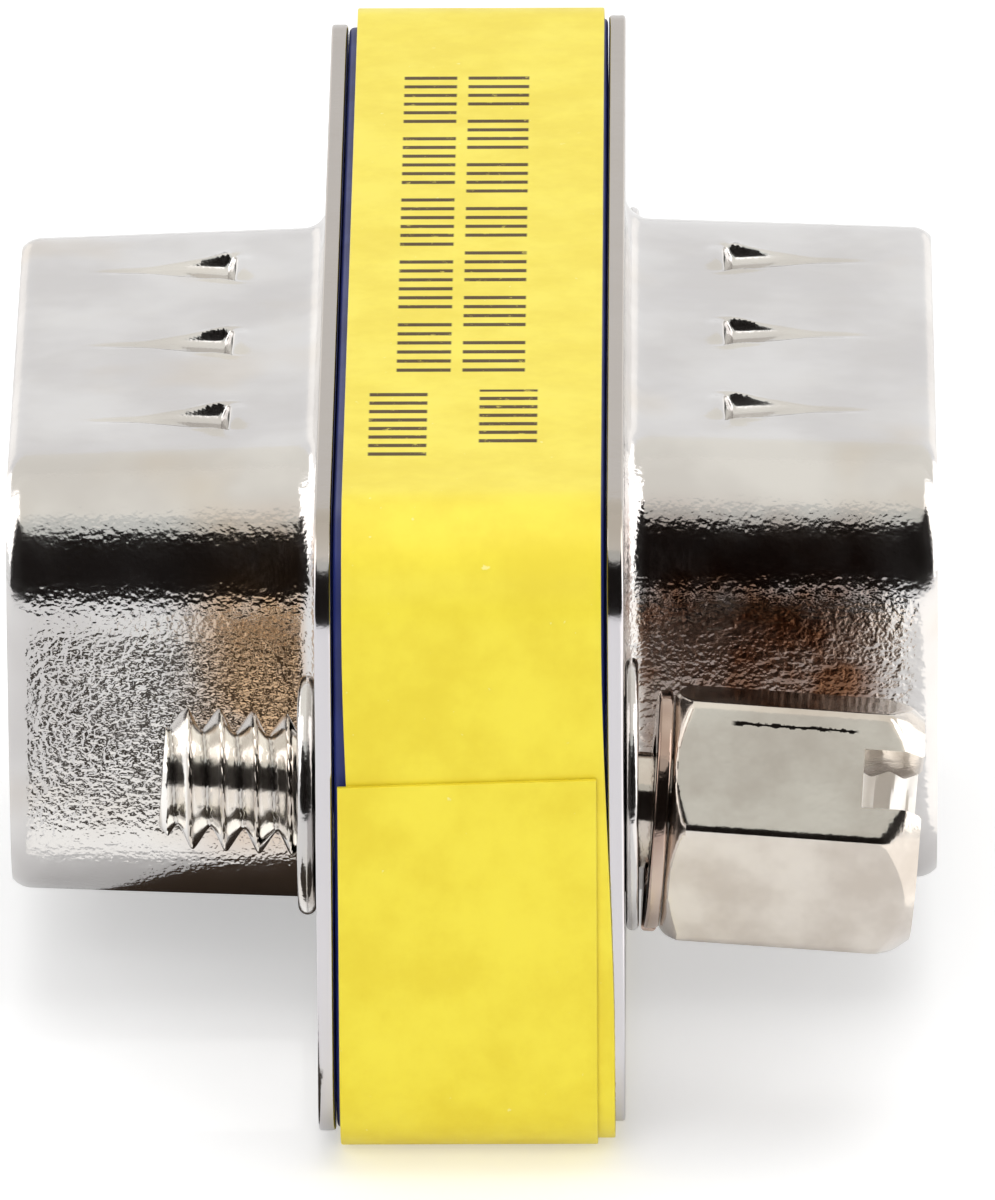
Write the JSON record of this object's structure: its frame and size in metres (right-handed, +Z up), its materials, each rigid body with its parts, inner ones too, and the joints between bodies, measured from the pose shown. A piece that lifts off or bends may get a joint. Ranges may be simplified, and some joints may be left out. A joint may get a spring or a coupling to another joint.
{
  "type": "d-sub gender changer adapter",
  "caption": "Slim adapter joining two D-shaped plug shells back to back, with jack screws through its flanges and tape round its middle.",
  "frame": {"origin": "on the floor under the middle of the adapter, on the flat underside of the tape", "axes": "+X along the mating axis towards the hex posts, +Y along the long side of the flanges, +Z up"},
  "size_m": [0.0178, 0.0314, 0.0132],
  "materials": {
    "plated_steel": "bright nickel plate",
    "screw_steel": "bright nickel plate",
    "gold_plate": "gold flash",
    "blue_plastic": "satin",
    "green_board": "solder mask",
    "yellow_tape": "satin"
  },
  "bodies": {
    "adapter": {"left_shell": "plated_steel", "right_shell": "plated_steel", "left_insulator": "blue_plastic", "right_insulator": "blue_plastic", "circuit_board": "green_board", "left_pin_1": "gold_plate", "left_pin_2": "gold_plate", "left_pin_3": "gold_plate", "left_pin_4": "gold_plate", "left_pin_5": "gold_plate", "left_pin_6": "gold_plate", "left_pin_7": "gold_plate", "left_pin_8": "gold_plate", "left_pin_9": "gold_plate", "right_pin_1": "gold_plate", "right_pin_2": "gold_plate", "right_pin_3": "gold_plate", "right_pin_4": "gold_plate", "right_pin_5": "gold_plate", "right_pin_6": "gold_plate", "right_pin_7": "gold_plate", "right_pin_8": "gold_plate", "right_pin_9": "gold_plate", "near_rivet": "plated_steel", "far_rivet": "plated_steel", "label_tape": "yellow_tape"},
    "near_washer": {"near_lock_washer": "plated_steel"},
    "near_screw": {"near_jack_screw": "screw_steel"},
    "far_washer": {"far_lock_washer": "plated_steel"},
    "far_screw": {"far_jack_screw": "screw_steel"}
  },
  "joints": [
    {"name": "near_screw_travel", "type": "slide", "parent": "adapter", "child": "near_washer", "axis": [0.9969, 0, -0.0785], "range_m": [0, 0.00286]},
    {"name": "near_screw_turn", "type": "hinge", "parent": "near_washer", "child": "near_screw", "pos_m": [0, -0.01249, 0.00651], "axis": [0.9969, 0, -0.0785], "range_deg": [0, 1620]},
    {"name": "far_screw_travel", "type": "slide", "parent": "adapter", "child": "far_washer", "axis": [0.9969, 0, -0.0785], "range_m": [0, 0.00286]},
    {"name": "far_screw_turn", "type": "hinge", "parent": "far_washer", "child": "far_screw", "pos_m": [0, 0.01249, 0.00651], "axis": [0.9969, 0, -0.0785], "range_deg": [0, 1620]}
  ],
  "couplings": [
    {"joint": "near_screw_turn", "follows": "near_screw_travel", "rad_per_m": 9894.8},
    {"joint": "far_screw_turn", "follows": "far_screw_travel", "rad_per_m": 9894.8}
  ]
}
